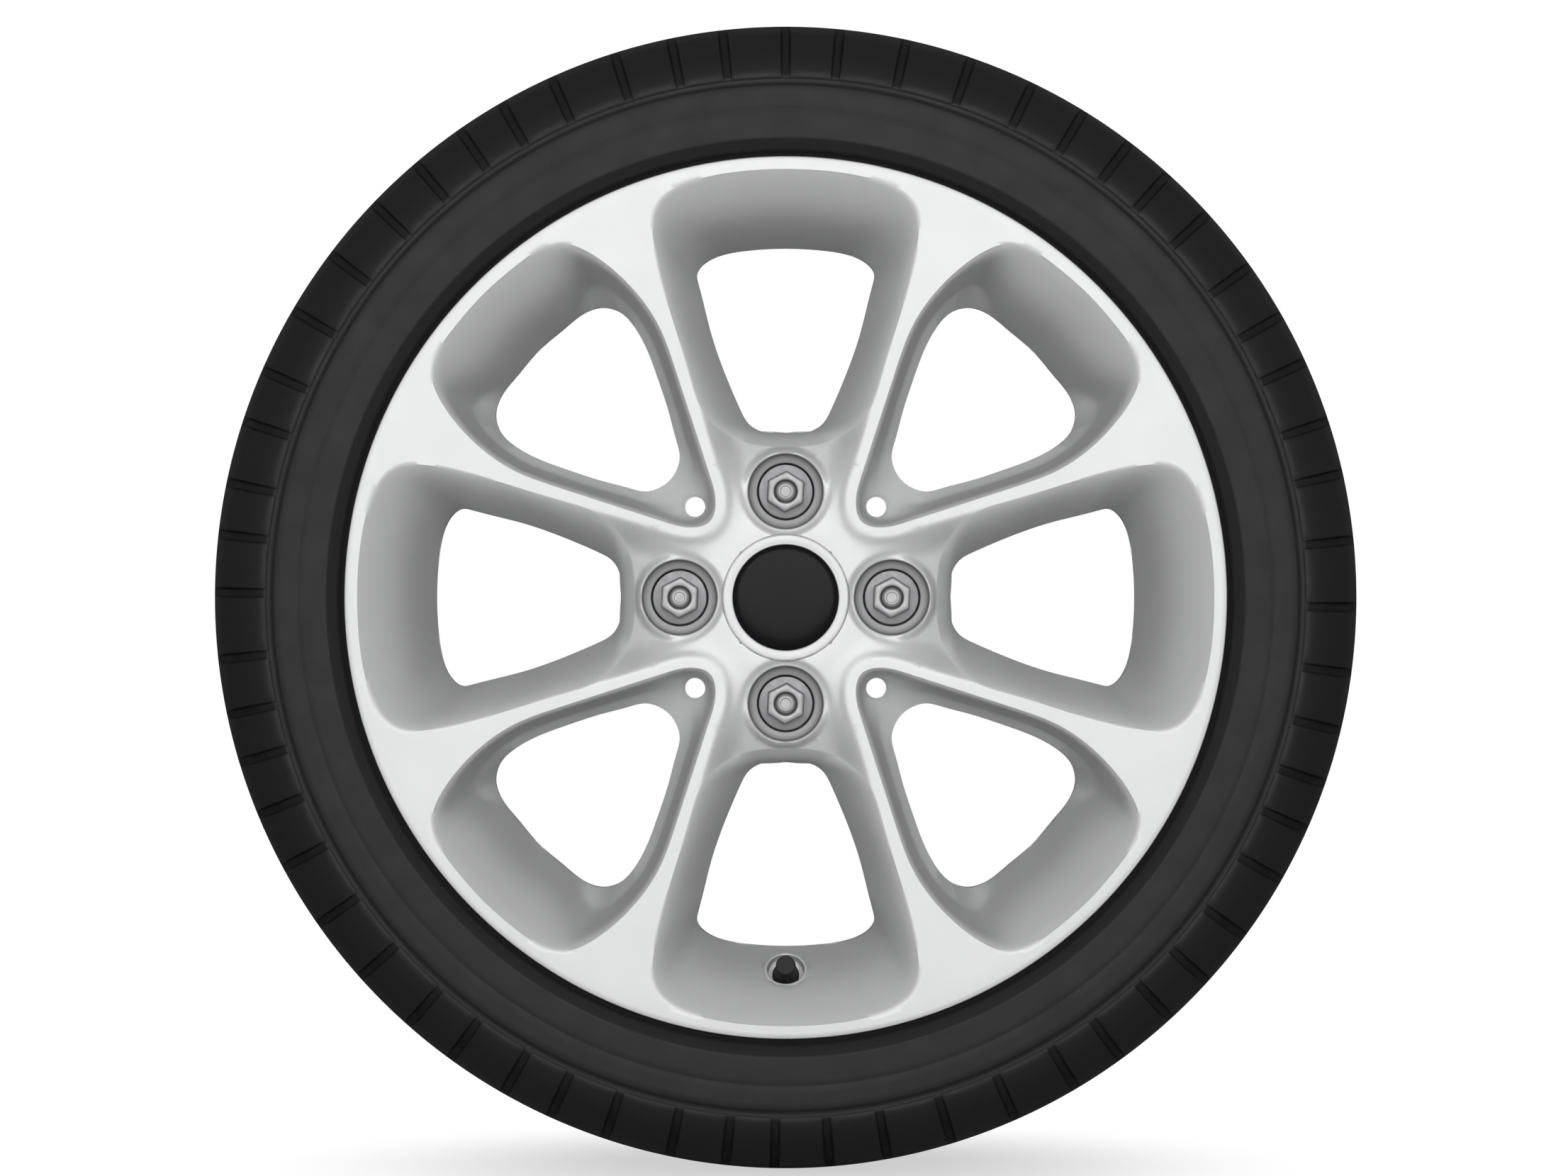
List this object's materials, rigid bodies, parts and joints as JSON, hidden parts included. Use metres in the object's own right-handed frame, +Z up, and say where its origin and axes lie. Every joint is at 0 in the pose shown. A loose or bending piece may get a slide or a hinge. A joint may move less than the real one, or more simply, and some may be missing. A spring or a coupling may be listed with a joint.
{
  "type": "alloy wheel with tyre",
  "caption": "Cast alloy car wheel with paired straight spokes, low tyre, wheel bolts in deep seats, plain centre cap and snap-in valve.",
  "frame": {"origin": "on the axle, midway between the two rim flanges", "axes": "+Y along the axle towards the car, the face looks along -Y, +Z up, valve at the bottom"},
  "size_m": [0.5459, 0.1626, 0.546],
  "materials": {
    "rim_silver": "silver metallic lacquer, satin",
    "tyre_rubber": "moulded, matt",
    "bolt_zinc": "zinc plated, satin",
    "cap_silver": "silver lacquer",
    "cap_black": "gloss black",
    "spring_steel": "bright wire",
    "valve_rubber": "matt black",
    "valve_brass": "turned",
    "core_brass": "turned",
    "core_gasket": "moulded ring",
    "core_pin": "turned",
    "core_cup": "moulded cup",
    "core_spring": "bright wire",
    "valve_cap": "black, knurled",
    "valve_cap_seal": "washer"
  },
  "bodies": {
    "wheel": {"alloy_rim": "rim_silver", "tyre": "tyre_rubber", "wheel_bolt_1": "bolt_zinc", "wheel_bolt_2": "bolt_zinc", "wheel_bolt_3": "bolt_zinc", "wheel_bolt_4": "bolt_zinc", "centre_cap": "cap_silver", "cap_disc": "cap_black", "cap_spring": "spring_steel", "valve_rubber": "valve_rubber", "valve_tube": "valve_brass", "valve_core": "core_brass", "core_gasket": "core_gasket", "core_spring": "core_spring"},
    "core_plunger": {"core_pin": "core_pin", "core_cup": "core_cup"},
    "cap_washer": {"valve_cap_seal": "valve_cap_seal"},
    "dust_cap": {"valve_cap": "valve_cap"}
  },
  "joints": [
    {"name": "core_press", "type": "slide", "parent": "wheel", "child": "core_plunger", "axis": [0, 0.9511, -0.309], "range_m": [0, 0.0015], "stiffness_N_per_m": 1500, "springref_m": -0.001, "deforming": ["core_spring"]},
    {"name": "cap_lift", "type": "slide", "parent": "wheel", "child": "cap_washer", "axis": [0, -0.9511, 0.309], "range_m": [0, 0.0046]},
    {"name": "cap_turn", "type": "hinge", "parent": "cap_washer", "child": "dust_cap", "pos_m": [0, -0.029, -0.1805], "axis": [0, -0.9511, 0.309], "range_deg": [0, 2095]}
  ],
  "couplings": [
    {"joint": "cap_turn", "follows": "cap_lift", "rad_per_m": 7936.5}
  ]
}
